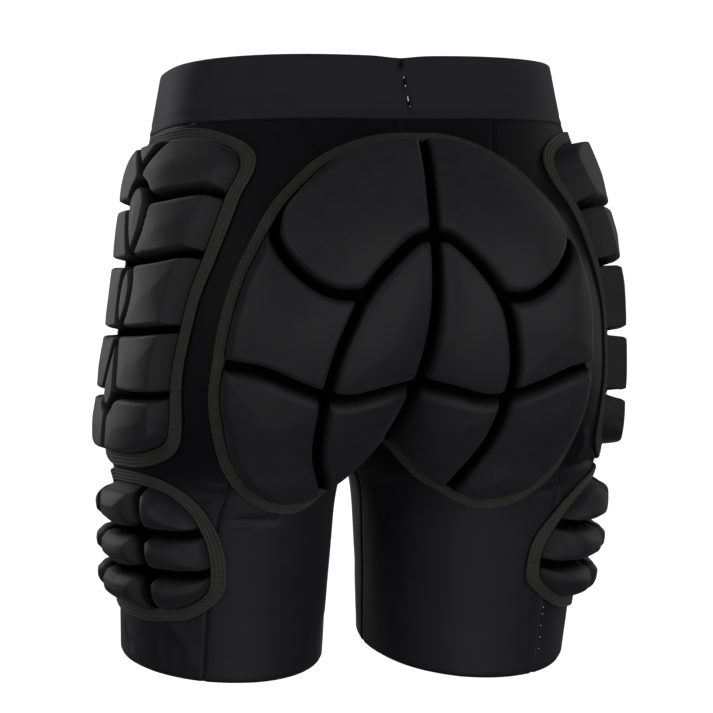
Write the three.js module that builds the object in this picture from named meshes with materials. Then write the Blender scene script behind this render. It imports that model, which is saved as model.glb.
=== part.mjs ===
// Padded protective shorts: a stretch cloth shell with a seat pad, two hip pads and two thigh pads.
// Millimetres, +Z up. The origin is the middle of the waistband at half its height, the back of the
// garment faces +Y, its front faces -Y and the wearer's left side is +X. It has the form of being worn.
import * as THREE from 'three';

// Driving sizes
const bandHeight = 41;
const bandWall = 3;
const clothWall = 1.8;
const torsoDrop = 224;
const legDrop = 127.7;
const hipReach = 160;
const seatDepth = 132;
const bellyDepth = 96;
const seamGap = 0.3;
const seamLift = 0.75;
const borderGap = 0.5;

// How the worn garment leans: the waist is lower on the left, and each hem is lower behind
const waistRoll = THREE.MathUtils.degToRad(2.3);
const rollFade = 42;
const hemTilt = { left: THREE.MathUtils.degToRad(8.8), right: THREE.MathUtils.degToRad(14) };

// Pads
const padFloor = 4;
const channelWidth = 5;
const shoulder = 7;
const borderWidth = { seat: 7.5, hip: 9, thigh: 9 };
const borderWall = 2.4;
const seatPadReach = 123;
const seatPadDrop = 228;
const seatPadTop = 17;
const seatPadRise = 9;
const hipPadReach = 67;
const hipPadDrop = 201;
const hipPadTop = 13;
const hipPadRise = 10;
const hipPadBackRise = 0.2;
const thighPadReach = 57;
const thighPadDrop = 78;
const thighPadTop = 10;
const thighPadRise = 14;
const thighPadBackRise = 0.1;
const blockCrown = 2;

// Fineness of the facets
const loopSteps = { back: 9, side: 8, front: 6 };
const bandSteps = 40;
const edgeStep = { seat: 15, hip: 17.5, thigh: 14 };

// Sections of the shell from the waist down. Each half of the garment is a loop about a lobe: lobe is
// the loop's centre and reach its half width, as shares of hipReach. back and sway are shares of
// seatDepth, front is a share of bellyDepth, and round is the exponent of the superellipse.
const bandRows = [
  { drop: 0.00, lobe: 0.000, reach: 0.825, back: 0.62, front: 0.92, sway: -0.015, round: 2.80 },
  { drop: 1.00, lobe: 0.000, reach: 0.873, back: 0.61, front: 0.97, sway: 0.010, round: 2.90 },
];
const torsoRows = [
  { drop: 0.175, lobe: 0.075, reach: 0.850, back: 0.810, front: 0.99, sway: 0.015, round: 2.60 },
  { drop: 0.352, lobe: 0.188, reach: 0.769, back: 0.950, front: 1.00, sway: 0.015, round: 2.50 },
  { drop: 0.529, lobe: 0.300, reach: 0.681, back: 1.000, front: 1.00, sway: 0.000, round: 2.50 },
  { drop: 0.686, lobe: 0.388, reach: 0.612, back: 0.962, front: 0.99, sway: -0.030, round: 2.50 },
  { drop: 0.833, lobe: 0.463, reach: 0.550, back: 0.864, front: 0.96, sway: -0.076, round: 2.45 },
  { drop: 0.956, lobe: 0.506, reach: 0.513, back: 0.758, front: 0.92, sway: -0.120, round: 2.35 },
];
const legRows = [
  { drop: 0.040, lobe: 0.525, reach: 0.472, back: 0.712, front: 0.90, sway: -0.136, round: 2.30 },
  { drop: 0.115, lobe: 0.531, reach: 0.453, back: 0.682, front: 0.88, sway: -0.150, round: 2.25 },
  { drop: 0.390, lobe: 0.538, reach: 0.444, back: 0.620, front: 0.83, sway: -0.180, round: 2.15 },
  { drop: 0.735, lobe: 0.544, reach: 0.441, back: 0.576, front: 0.79, sway: -0.227, round: 2.05 },
  { drop: 1.000, lobe: 0.550, reach: 0.438, back: 0.557, front: 0.77, sway: -0.258, round: 2.00 },
];

// The seams between the panels, as angles from straight out sideways: behind and in front
const seamRows = [
  { drop: 0.00, behind: 71, before: -62 },
  { drop: 0.10, behind: 76, before: -60 },
  { drop: 0.25, behind: 70, before: -58 },
  { drop: 0.45, behind: 69, before: -56 },
  { drop: 0.62, behind: 75, before: -58 },
  { drop: 0.72, behind: 71, before: -60 },
  { drop: 1.00, behind: 66, before: -62 },
];

// How the stance moves each half: out is how far its flank is set outwards, in the same for its side by
// the centre line, and spine is how far the middle of the back is moved out. Millimetres.
const stanceRows = [
  { drop: 0.00, outLeft: -1.5, outRight: 1.0, inLeft: 0.0, inRight: 0.0, spine: -7 },
  { drop: 0.12, outLeft: -1.0, outRight: 4.0, inLeft: 0.0, inRight: 0.0, spine: -4 },
  { drop: 0.25, outLeft: -1.0, outRight: 3.0, inLeft: 0.0, inRight: 0.0, spine: 0 },
  { drop: 0.40, outLeft: -1.0, outRight: 1.5, inLeft: 0.0, inRight: 0.0, spine: 2 },
  { drop: 0.52, outLeft: 0.0, outRight: 4.5, inLeft: 1.5, inRight: -1.5, spine: 5 },
  { drop: 0.62, outLeft: 0.0, outRight: 9.0, inLeft: 4.0, inRight: -4.0, spine: 4 },
  { drop: 0.70, outLeft: -0.7, outRight: 11.7, inLeft: 2.8, inRight: -3.0, spine: 0 },
  { drop: 0.80, outLeft: -1.7, outRight: 12.0, inLeft: 1.2, inRight: -2.4, spine: 0 },
  { drop: 0.86, outLeft: -2.5, outRight: 9.0, inLeft: 0.8, inRight: -1.5, spine: 0 },
  { drop: 1.00, outLeft: -5.0, outRight: 4.3, inLeft: 0.0, inRight: -1.3, spine: 0 },
];

const bandTop = bandHeight / 2;
const bandFoot = -bandHeight / 2;
const crotchLevel = bandFoot - torsoDrop;

const formRows = [
  ...bandRows.map((row) => ({ ...row, z: bandTop - bandHeight * row.drop })),
  ...torsoRows.map((row) => ({ ...row, z: bandFoot - torsoDrop * row.drop })),
  ...legRows.map((row) => ({ ...row, z: crotchLevel - legDrop * row.drop })),
].reverse();

// A smooth curve through one column of a table whose rows are sorted by the key
function follow(rows, key, column, at) {
  const last = rows.length - 1;
  const place = THREE.MathUtils.clamp(at, rows[0][key], rows[last][key]);
  let i = 0;
  while (i < last - 1 && rows[i + 1][key] <= place) i += 1;
  const span = (k) => rows[k + 1][key] - rows[k][key];
  const slope = (k) => (rows[k + 1][column] - rows[k][column]) / span(k);
  const tangent = (k) => {
    if (k === 0) return slope(0);
    if (k === last) return slope(last - 1);
    return (slope(k - 1) * span(k) + slope(k) * span(k - 1)) / (span(k) + span(k - 1));
  };
  const s = (place - rows[i][key]) / span(i);
  const cubes = [2 * s ** 3 - 3 * s ** 2 + 1, s ** 3 - 2 * s ** 2 + s, 3 * s ** 2 - 2 * s ** 3, s ** 3 - s ** 2];
  return cubes[0] * rows[i][column] + cubes[1] * span(i) * tangent(i)
    + cubes[2] * rows[i + 1][column] + cubes[3] * span(i) * tangent(i + 1);
}

function legShare(z) {
  return THREE.MathUtils.clamp((crotchLevel - z) / legDrop, 0, 1);
}

function sideName(side) {
  return side > 0 ? 'left' : 'right';
}

// The section of each half of the shell at a level
function section(z) {
  const at = (column) => follow(formRows, 'z', column, z);
  return {
    lobe: at('lobe') * hipReach,
    reach: at('reach') * hipReach,
    back: at('back') * seatDepth,
    front: at('front') * bellyDepth,
    sway: at('sway') * seatDepth,
    round: at('round'),
  };
}

const power = (value, exponent) => Math.sign(value) * Math.abs(value) ** exponent;

// The angle at which a half's loop meets the centre line, or a full half turn below the crotch
function loopEnd(z, inset) {
  const form = section(z);
  const share = THREE.MathUtils.clamp(form.lobe / (form.reach - inset), 0, 1);
  return Math.acos(-(share ** (form.round / 2)));
}

function loopPoint(angle, z, side, inset) {
  const form = section(z);
  const depth = (angle >= 0 ? form.back : form.front) - inset;
  const x = form.lobe + (form.reach - inset) * power(Math.cos(angle), 2 / form.round);
  const y = form.sway + depth * power(Math.sin(angle), 2 / form.round);
  return new THREE.Vector3(side * Math.max(x, 0), y, z);
}

// The same surface where a pad is laid out from behind, by x and z, or from the side, by y and z
function seatSurface(x, z) {
  const form = section(z);
  const share = Math.min(Math.abs(Math.abs(x) - form.lobe) / form.reach, 1);
  return new THREE.Vector3(x, form.sway + form.back * (1 - share ** form.round) ** (1 / form.round), z);
}

function flankSurface(y, z, side) {
  const form = section(z);
  const depth = y >= form.sway ? form.back : form.front;
  const share = Math.min(Math.abs(y - form.sway) / depth, 1);
  return new THREE.Vector3(side * (form.lobe + form.reach * (1 - share ** form.round) ** (1 / form.round)), y, z);
}

// How far down the torso and the legs a level is
const garmentShare = (z) => (bandFoot - z) / (torsoDrop + legDrop);

// The stance and lean of the worn garment, which move every piece alike
function lean(point) {
  const side = point.x < 0 ? -1 : 1;
  const stance = (column) => follow(stanceRows, 'drop', column, garmentShare(point.z));
  const flank = THREE.MathUtils.smoothstep(point.x * side, 20, 125);
  const [out, inner] = side > 0 ? ['outLeft', 'inLeft'] : ['outRight', 'inRight'];
  const shift = side * (stance(out) * flank + stance(inner) * (1 - flank));
  const middle = Math.exp(-((point.x / 45) ** 2)) * THREE.MathUtils.smoothstep(point.y, 0, 40);
  const roll = THREE.MathUtils.smoothstep(point.z, bandFoot - rollFade, bandFoot);
  const tilt = Math.tan(hemTilt[sideName(side)]) * legShare(point.z) ** 2;
  const rise = -point.x * Math.tan(waistRoll) * roll - tilt * (point.y - section(point.z).sway);
  return new THREE.Vector3(point.x + shift, point.y + stance('spine') * middle, point.z + rise);
}

// Numbers of a place, rounded so that points in one place share a key
const keyOf = (numbers) => numbers.map((number) => Math.round(number * 1000)).join(' ');

// A closed body that grows by faces; points in one place are one vertex
class Body {
  constructor() {
    this.places = [];
    this.faces = [];
    this.known = new Map();
  }

  point(place) {
    const key = keyOf(place.toArray());
    if (!this.known.has(key)) {
      this.known.set(key, this.places.length / 3);
      this.places.push(place.x, place.y, place.z);
    }
    return this.known.get(key);
  }

  triangle(a, b, c) {
    if (a !== b && b !== c && c !== a) this.faces.push(a, b, c);
  }

  quad(a, b, c, d) {
    this.triangle(a, b, c);
    this.triangle(a, c, d);
  }

  volume() {
    const corner = (k) => new THREE.Vector3().fromArray(this.places, 3 * this.faces[k]);
    let sum = 0;
    for (let k = 0; k < this.faces.length; k += 3) {
      sum += corner(k).dot(corner(k + 1).cross(corner(k + 2)));
    }
    return sum;
  }

  mesh(name, material) {
    if (this.volume() < 0) this.faces.reverse();
    const geometry = new THREE.BufferGeometry();
    geometry.setAttribute('position', new THREE.Float32BufferAttribute(this.places, 3));
    geometry.setIndex(this.faces);
    geometry.computeVertexNormals();
    const mesh = new THREE.Mesh(geometry, material);
    mesh.name = name;
    return mesh;
  }
}

// A sheet with a thickness: an outer and an inner grid of points joined round their edges
function wallBody(rows, columns, outer, inner, closed) {
  const body = new Body();
  const grid = (place) => Array.from({ length: rows + 1 }, (_, i) =>
    Array.from({ length: columns + (closed ? 0 : 1) }, (__, j) => body.point(lean(place(i, j)))));
  const faces = [grid(outer), grid(inner)];
  const next = (j) => (closed ? (j + 1) % columns : j + 1);
  for (let j = 0; j < columns; j += 1) {
    for (let i = 0; i < rows; i += 1) {
      body.quad(faces[0][i][j], faces[0][i][next(j)], faces[0][i + 1][next(j)], faces[0][i + 1][j]);
      body.quad(faces[1][i][j], faces[1][i + 1][j], faces[1][i + 1][next(j)], faces[1][i][next(j)]);
    }
    for (const [i, a, b] of [[0, 1, 0], [rows, 0, 1]]) {
      body.quad(faces[a][i][j], faces[a][i][next(j)], faces[b][i][next(j)], faces[b][i][j]);
    }
  }
  if (!closed) {
    for (let i = 0; i < rows; i += 1) {
      for (const [j, a, b] of [[0, 0, 1], [columns, 1, 0]]) {
        body.quad(faces[a][i][j], faces[a][i + 1][j], faces[b][i + 1][j], faces[b][i][j]);
      }
    }
  }
  return body;
}

const fabric = (color, roughness) => new THREE.MeshStandardMaterial({ color, roughness, metalness: 0 });
const materials = {
  band: fabric(0x1c1b20, 0.9),
  cloth: fabric(0x19191d, 0.85),
  pad: fabric(0x1f1f20, 0.75),
  border: fabric(0x161617, 0.9),
};

// The waistband: a doubled elastic ring that stands a little proud of the shell below it
function makeWaistband() {
  const stand = (bandWall - clothWall) / 2;
  const rows = 3;
  const place = (inset) => (i, j) => {
    const angle = (2 * Math.PI * (j + 0.5)) / bandSteps - Math.PI / 2;
    const side = Math.cos(angle) < 0 ? -1 : 1;
    const turned = side > 0 ? angle : Math.PI - angle;
    const wrapped = Math.atan2(Math.sin(turned), Math.cos(turned));
    return loopPoint(wrapped, bandTop - (bandHeight * i) / rows, side, inset);
  };
  return wallBody(rows, bandSteps, place(-stand), place(bandWall - stand), true).mesh('waistband', materials.band);
}

// Levels at which the panels have a row of facets, from the waistband's foot to the hem
const panelLevels = [
  bandFoot - seamGap,
  ...[0.07, 0.16, 0.25, 0.34, 0.43, 0.52, 0.60, 0.68, 0.76, 0.83, 0.895, 0.95, 0.985]
    .map((drop) => bandFoot - torsoDrop * drop),
  ...[0.03, 0.10, 0.17, 0.28, 0.45, 0.65, 0.83, 1.0].map((drop) => crotchLevel - legDrop * drop),
];

// One panel of the shell between two angles of the loop, with half a seam gap left at each side
function makePanel(part, side) {
  const steps = loopSteps[part];
  const rows = panelLevels.length - 1;
  const seam = (column, z) => THREE.MathUtils.degToRad(follow(seamRows, 'drop', column, garmentShare(z)));
  const place = (inset) => (i, j) => {
    const z = panelLevels[i];
    const form = section(z);
    const end = loopEnd(z, inset);
    const gap = seamGap / 2 / form.reach;
    const spans = {
      back: [end, seam('behind', z) + gap],
      side: [seam('behind', z) - gap, seam('before', z) + gap],
      front: [seam('before', z) - gap, -end],
    };
    const [from, to] = spans[part];
    const point = loopPoint(from + ((to - from) * j) / steps, z, side, inset);
    const clear = point.x * side < seamGap / 2 ? side * (seamGap / 2) : point.x;
    const fold = (j === 0 && part === 'back') || (j === steps && part === 'front');
    const apart = fold ? (part === 'back' ? 1 : -1) * (seamGap / 2) : 0;
    const split = Math.abs(point.y - form.sway) < seamGap ? apart : 0;
    return new THREE.Vector3(clear, point.y + split, z);
  };
  return wallBody(rows, steps, place(0), place(clothWall), false)
    .mesh(`${part}_panel_${sideName(side)}`, materials.cloth);
}

// A smooth line through chosen points, cut into equal steps
function smoothLine(points, step, closed) {
  const curve = new THREE.CatmullRomCurve3(points.map(([u, v]) => new THREE.Vector3(u, v, 0)), closed, 'centripetal');
  const count = Math.max(2, Math.round(curve.getLength() / step));
  const line = curve.getSpacedPoints(count).map((point) => [point.x, point.y]);
  if (closed) line.pop();
  return line;
}

// Distance from a point to a closed outline
function distanceTo(outline, [u, v]) {
  let best = Infinity;
  outline.forEach(([au, av], k) => {
    const [bu, bv] = outline[(k + 1) % outline.length];
    const lengthSquared = (bu - au) ** 2 + (bv - av) ** 2;
    const share = THREE.MathUtils.clamp(((u - au) * (bu - au) + (v - av) * (bv - av)) / lengthSquared, 0, 1);
    best = Math.min(best, Math.hypot(u - au - share * (bu - au), v - av - share * (bv - av)));
  });
  return best;
}

// The middle of a cell's area
function middleOf(outline) {
  let area = 0;
  const sum = [0, 0];
  outline.forEach(([au, av], k) => {
    const [bu, bv] = outline[(k + 1) % outline.length];
    const cross = au * bv - bu * av;
    area += cross;
    sum[0] += (au + bu) * cross;
    sum[1] += (av + bv) * cross;
  });
  return [sum[0] / (3 * area), sum[1] / (3 * area)];
}

// The ring of points that lie a distance inside a cell's outline, on the way to its middle
function ringInside(outline, middle, inset) {
  const steps = 50;
  return outline.map(([u, v]) => {
    for (let k = 0; k <= steps; k += 1) {
      const share = (0.85 * k) / steps;
      const place = [u + share * (middle[0] - u), v + share * (middle[1] - v)];
      if (distanceTo(outline, place) >= inset) return place;
    }
    return [u + 0.85 * (middle[0] - u), v + 0.85 * (middle[1] - v)];
  });
}

// How far the garment bulges past a straight line between two places of a layout
function bulgeBetween([au, av], [bu, bv], laid) {
  const chord = laid(au, av, 0).add(laid(bu, bv, 0)).multiplyScalar(0.5);
  return chord.distanceTo(laid((au + bu) / 2, (av + bv) / 2, 0));
}

// How high each point of some outlines is set off the garment, so that the straight edges between the
// points clear its curved cloth
function liftOver(outlines, laid) {
  const lift = new Map();
  const raise = (place, height) => lift.set(keyOf(place), Math.max(height, lift.get(keyOf(place)) ?? seamLift));
  for (const outline of outlines) {
    outline.forEach((place, k) => {
      const next = outline[(k + 1) % outline.length];
      const height = seamLift + bulgeBetween(place, next, laid);
      raise(place, height);
      raise(next, height);
    });
  }
  return lift;
}

// A pad of raised blocks with sewn channels between them. Each cell is the outline of one block along
// the middle of its channels. laid(u, v, height) puts a place of the layout on the garment.
function padBody(cells, riseAt, laid) {
  const body = new Body();
  const edgeUse = new Map();
  const lift = liftOver(cells, laid);
  for (const outline of cells) {
    const middle = middleOf(outline);
    const widest = distanceTo(outline, middle);
    const rise = riseAt(middle[0]);
    const insets = [channelWidth / 2, channelWidth / 2 + 0.35 * shoulder, channelWidth / 2 + shoulder];
    const heights = [padFloor + 0.55 * rise, padFloor + 0.9 * rise, padFloor + rise];
    const rings = [outline, ...insets.map((inset) => ringInside(outline, middle, Math.min(inset, 0.75 * widest)))];
    const lifts = [padFloor, ...heights];
    const tops = rings.map((ring, r) => ring.map(([u, v]) => body.point(laid(u, v, lifts[r]))));
    const crown = body.point(laid(...middle, padFloor + rise + blockCrown));
    const foot = outline.map((place) => body.point(laid(...place, lift.get(keyOf(place)))));
    const arch = Math.max(...outline.map((place) => bulgeBetween(place, middle, laid)));
    const sole = body.point(laid(...middle, seamLift + 2 * arch));
    outline.forEach((place, k) => {
      const n = (k + 1) % outline.length;
      for (let r = 0; r + 1 < tops.length; r += 1) body.quad(tops[r][k], tops[r][n], tops[r + 1][n], tops[r + 1][k]);
      body.triangle(tops[tops.length - 1][k], tops[tops.length - 1][n], crown);
      body.triangle(foot[n], foot[k], sole);
      edgeUse.set(`${foot[k]} ${foot[n]}`, [foot[k], foot[n], tops[0][k], tops[0][n]]);
    });
  }
  for (const [key, [a, b, c, d]] of edgeUse) {
    const [from, to] = key.split(' ');
    if (!edgeUse.has(`${to} ${from}`)) body.quad(a, b, d, c);
  }
  return body;
}

// The sewn border round a pad: a flat band that follows its outline, just outside it
function borderBody(outline, width, laid) {
  const body = new Body();
  const count = outline.length;
  const turn = Math.sign(turnOf(outline));
  const lift = liftOver([outline], laid);
  const rings = outline.map((place, k) => {
    const [before, after] = [outline[(k + count - 1) % count], outline[(k + 1) % count]];
    const arriving = new THREE.Vector2(place[0] - before[0], place[1] - before[1]).normalize();
    const leaving = new THREE.Vector2(after[0] - place[0], after[1] - place[1]).normalize();
    const along = arriving.clone().add(leaving).normalize();
    const out = [along.y * turn, -along.x * turn];
    const widen = 1 / Math.max(along.dot(leaving), 0.5);
    const stretch = laid(place[0] + out[0], place[1] + out[1], 0).distanceTo(laid(...place, 0));
    const away = (distance) => {
      const step = (distance * widen) / Math.max(stretch, 1);
      return [place[0] + out[0] * step, place[1] + out[1] * step];
    };
    const near = away(borderGap);
    const far = away(borderGap + width);
    const low = lift.get(keyOf(place)) + 2 * bulgeBetween(near, far, laid);
    return [[near, low], [far, low], [far, low + borderWall], [near, low + borderWall]]
      .map(([at, height]) => body.point(laid(...at, height)));
  });
  rings.forEach((ring, k) => {
    const other = rings[(k + 1) % count];
    ring.forEach((corner, c) => {
      const d = (c + 1) % ring.length;
      body.quad(corner, ring[d], other[d], other[c]);
    });
  });
  return body;
}

// Twice the signed area of a closed line, whose sign says which way it turns
function turnOf(outline) {
  return outline.reduce((sum, [au, av], k) => {
    const [bu, bv] = outline[(k + 1) % outline.length];
    return sum + au * bv - bu * av;
  }, 0);
}

// Lines of a layout are named and drawn once; a cell walks along them, and "-" walks one backwards
function layOut(lines, cells) {
  const walk = (name) => (name.startsWith('-') ? [...lines[name.slice(1)]].reverse() : lines[name]);
  return cells.map((names) => names.flatMap((name) => walk(name).slice(0, -1)));
}

const mirrored = (outline) => outline.map(([u, v]) => [-u, v]).reverse();

// The seat pad. Places are shares of seatPadReach across and seatPadDrop down, one half of the pad.
const seatLines = {
  rimTop: [[0, 0], [0.134, 0.002], [0.285, 0.023], [0.476, 0.076], [0.642, 0.155], [0.755, 0.225], [0.835, 0.30]],
  rimSide: [[0.835, 0.30], [0.925, 0.40], [0.985, 0.52], [1, 0.61]],
  rimLow: [[1, 0.61], [1, 0.70], [0.962, 0.79], [0.885, 0.89], [0.78, 0.955], [0.65, 0.99], [0.52, 0.995],
    [0.39, 0.962]],
  rimUnder: [[0.39, 0.962], [0.27, 0.925], [0.16, 0.875], [0.07, 0.83], [0, 0.805]],
  centreTop: [[0, 0], [0, 0.273]],
  centreLeaf: [[0, 0.273], [0, 0.64]],
  centreLow: [[0, 0.64], [0, 0.805]],
  petalLeaf: [[0, 0.273], [0.09, 0.285], [0.211, 0.335], [0.32, 0.392], [0.382, 0.431]],
  petalOuter: [[0.382, 0.431], [0.528, 0.422], [0.65, 0.387], [0.76, 0.342], [0.835, 0.30]],
  leafOuter: [[0.382, 0.431], [0.45, 0.51], [0.50, 0.60], [0.512, 0.686]],
  outerLow: [[0.512, 0.686], [0.683, 0.655], [0.837, 0.624], [1, 0.61]],
  leafLow: [[0.512, 0.686], [0.39, 0.69], [0.207, 0.665], [0, 0.64]],
  lowSplit: [[0.512, 0.686], [0.504, 0.76], [0.47, 0.85], [0.39, 0.962]],
};
const seatCells = [
  ['centreTop', 'petalLeaf', 'petalOuter', '-rimTop'],
  ['leafOuter', 'outerLow', '-rimSide', '-petalOuter'],
  ['centreLeaf', '-leafLow', '-leafOuter', '-petalLeaf'],
  ['centreLow', '-rimUnder', '-lowSplit', 'leafLow'],
  ['lowSplit', '-rimLow', '-outerLow'],
];

function layOnSeat(x, z, height) {
  const step = 0.5;
  const base = seatSurface(x, z);
  const across = seatSurface(x + step, z).sub(seatSurface(x - step, z));
  const down = seatSurface(x, z + step).sub(seatSurface(x, z - step));
  const out = across.cross(down).negate().normalize();
  out.x *= THREE.MathUtils.smoothstep(Math.abs(x), 0, 0.35 * seatPadReach);
  return base.addScaledVector(out.normalize(), height);
}

// How the seat pad sits askew down its drop: its right half's width as a share of the left half's, and how
// far its centre line lies to the right, in millimetres
const seatAskewRows = [
  { drop: 0.00, right: 1.04, sway: 11 },
  { drop: 0.27, right: 0.97, sway: 3 },
  { drop: 0.50, right: 0.92, sway: 3 },
  { drop: 0.80, right: 0.92, sway: 0 },
  { drop: 1.00, right: 0.92, sway: 0 },
];

function askew(u, drop) {
  const share = u < 0 ? follow(seatAskewRows, 'drop', 'right', drop) : 1;
  const sway = follow(seatAskewRows, 'drop', 'sway', drop) * (1 - Math.min(Math.abs(u) / seatPadReach, 1)) ** 2;
  return u * share - sway;
}

function makeSeatPad() {
  const top = bandFoot - seatPadTop;
  const scaled = (line) => line.map(([across, drop]) => [across * seatPadReach, top - drop * seatPadDrop]);
  const lines = Object.fromEntries(Object.entries(seatLines)
    .map(([name, line]) => [name, smoothLine(scaled(line), edgeStep.seat, false)]));
  const half = layOut(lines, seatCells);
  const cells = [...half, ...half.map(mirrored)];
  const laid = (u, v, height) => lean(layOnSeat(askew(u, (top - v) / seatPadDrop), v, height));
  const rim = ['rimTop', 'rimSide', 'rimLow', 'rimUnder'].flatMap((name) => lines[name].slice(0, -1));
  const outline = [...rim, lines.rimUnder[lines.rimUnder.length - 1], ...mirrored(rim).slice(0, -1)];
  return [
    padBody(cells, () => seatPadRise, laid).mesh('seat_pad', materials.pad),
    borderBody(outline, borderWidth.seat, laid).mesh('seat_pad_border', materials.border),
  ];
}

// A pad on the flank is laid out by shares of its reach, +1 at its back edge, and of its drop, about a
// middle line that sways forward on the way down, by a share of the pad's reach for each side.
const hipSway = [
  { drop: 0.0, left: 0.44, right: 0.48 },
  { drop: 0.38, left: 0.48, right: 0.55 },
  { drop: 0.59, left: 0.36, right: 0.43 },
  { drop: 0.80, left: 0.17, right: 0.24 },
  { drop: 1.0, left: 0.04, right: 0.09 },
];
const thighSway = [
  { drop: 0.0, left: -0.04, right: 0.10 },
  { drop: 1.0, left: -0.10, right: -0.02 },
];

// Levels of the hip pad's row channels at its back edge, and the rim's corner points beside them
const hipLines = {
  rimTop: [[0.30, 0.0], [0.55, 0.018], [0.74, 0.06], [0.85, 0.12], [0.875, 0.21]],
  rimOne: [[0.875, 0.21], [0.895, 0.29], [0.885, 0.39]],
  rimTwo: [[0.885, 0.39], [0.865, 0.49], [0.87, 0.612]],
  rimThree: [[0.87, 0.612], [0.875, 0.70], [0.885, 0.81]],
  rimFour: [[0.885, 0.81], [0.87, 0.89], [0.79, 0.955], [0.58, 0.985], [0.30, 1.0], [0, 1.0]],
  capRight: [[0.30, 0.0], [0.15, 0.06], [0, 0.12]],
  capTop: [[0, 0.0], [0.15, 0.0], [0.30, 0.0]],
  neck: [[0, 0.12], [0, 0.15]],
  kiteUpper: [[0, 0.15], [0.14, 0.175], [0.24, 0.215]],
  rowOne: [[0.24, 0.215], [0.55, 0.213], [0.875, 0.21]],
  kiteLower: [[0.24, 0.215], [0.17, 0.31], [0, 0.40]],
  rowTwo: [[0, 0.40], [0.45, 0.40], [0.885, 0.39]],
  lens: [[0, 0.40], [0.14, 0.455], [0.14, 0.56], [0, 0.62]],
  rowThree: [[0, 0.62], [0.45, 0.62], [0.87, 0.612]],
  diamondUpper: [[0, 0.62], [0.12, 0.715], [0.22, 0.815]],
  rowFour: [[0.22, 0.815], [0.55, 0.815], [0.885, 0.81]],
  diamondLower: [[0.22, 0.815], [0.12, 0.85], [0, 0.875]],
  tail: [[0, 0.875], [0, 1.0]],
};
const hipBackCells = [
  ['-capRight', 'rimTop', '-rowOne', '-kiteUpper', '-neck'],
  ['rowOne', 'rimOne', '-rowTwo', '-kiteLower'],
  ['rowTwo', 'rimTwo', '-rowThree', '-lens'],
  ['rowThree', 'rimThree', '-rowFour', '-diamondUpper'],
  ['rowFour', 'rimFour', '-tail', '-diamondLower'],
];
const hipMiddleHalves = [
  ['capTop', 'capRight'],
  ['kiteUpper', 'kiteLower'],
  ['lens'],
  ['diamondUpper', 'diamondLower'],
];

const thighLines = {
  rimTop: [[0, 0], [0.25, 0], [0.48, 0.01]],
  rimOne: [[0.48, 0.01], [0.76, 0.06], [0.92, 0.19], [0.96, 0.36]],
  rimTwo: [[0.96, 0.36], [0.95, 0.50], [0.91, 0.67]],
  rimThree: [[0.91, 0.67], [0.84, 0.83], [0.68, 0.94], [0.43, 0.98]],
  rimLow: [[0.43, 0.98], [0.22, 1.0], [0, 1.0]],
  columnOne: [[0.48, 0.01], [0.46, 0.16], [0.45, 0.37]],
  columnTwo: [[0.45, 0.37], [0.42, 0.52], [0.44, 0.68]],
  columnThree: [[0.44, 0.68], [0.41, 0.82], [0.43, 0.98]],
  rowOne: [[0, 0.39], [0.45, 0.37]],
  rowTwo: [[0, 0.71], [0.44, 0.68]],
  rowOneBack: [[0.45, 0.37], [0.96, 0.36]],
  rowTwoBack: [[0.44, 0.68], [0.91, 0.67]],
};
const thighBackCells = [
  ['rimOne', '-rowOneBack', '-columnOne'],
  ['rowOneBack', 'rimTwo', '-rowTwoBack', '-columnTwo'],
  ['rowTwoBack', 'rimThree', '-columnThree'],
];
const thighMiddleHalves = [
  ['rimTop', 'columnOne', '-rowOne'],
  ['rowOne', 'columnTwo', '-rowTwo'],
  ['rowTwo', 'columnThree', 'rimLow'],
];

function layOnFlank(y, z, side, height) {
  const step = 0.5;
  const base = flankSurface(y, z, side);
  const along = flankSurface(y + step, z, side).sub(flankSurface(y - step, z, side));
  const down = flankSurface(y, z + step, side).sub(flankSurface(y, z - step, side));
  const out = along.cross(down).normalize().multiplyScalar(side);
  return base.addScaledVector(out, height);
}

// Both halves of a middle cell are one block, so the line between them is left out
function wholeCell(lines, names) {
  const walk = (name) => (name.startsWith('-') ? [...lines[name.slice(1)]].reverse() : lines[name]);
  const half = names.flatMap((name, k) => (k === 0 ? walk(name) : walk(name).slice(1)));
  const mirror = mirrored(half);
  const open = half.filter(([u], k) => u > 0 || k === 0 || k === half.length - 1);
  const other = mirror.filter(([u]) => u < 0);
  return [...open, ...other];
}

function makeFlankPad(name, side, design) {
  const { lines, backCells, middleHalves, rimNames, sway, reach, drop, top, rise, backRise, width, step } = design;
  const scaled = (line) => line.map(([share, down]) => [share * reach, down * drop]);
  const drawn = Object.fromEntries(Object.entries(lines)
    .map(([key, line]) => [key, smoothLine(scaled(line), step, false)]));
  const back = layOut(drawn, backCells);
  const middle = middleHalves.map((names) => wholeCell(drawn, names));
  const cells = [...back, ...back.map(mirrored), ...middle];
  const laid = (u, v, height) => {
    const y = u + reach * follow(sway, 'drop', word, v / drop);
    return lean(layOnFlank(y, top - v, side, height));
  };
  const half = rimNames.flatMap((key, k) => (k === 0 ? drawn[key] : drawn[key].slice(1)));
  const outline = [...half, ...mirrored(half).slice(1, -1)];
  const word = sideName(side);
  return [
    padBody(cells, (u) => rise * (1 + (backRise * u) / reach), laid).mesh(`${name}_pad_${word}`, materials.pad),
    borderBody(outline, width, laid).mesh(`${name}_pad_border_${word}`, materials.border),
  ];
}

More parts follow.
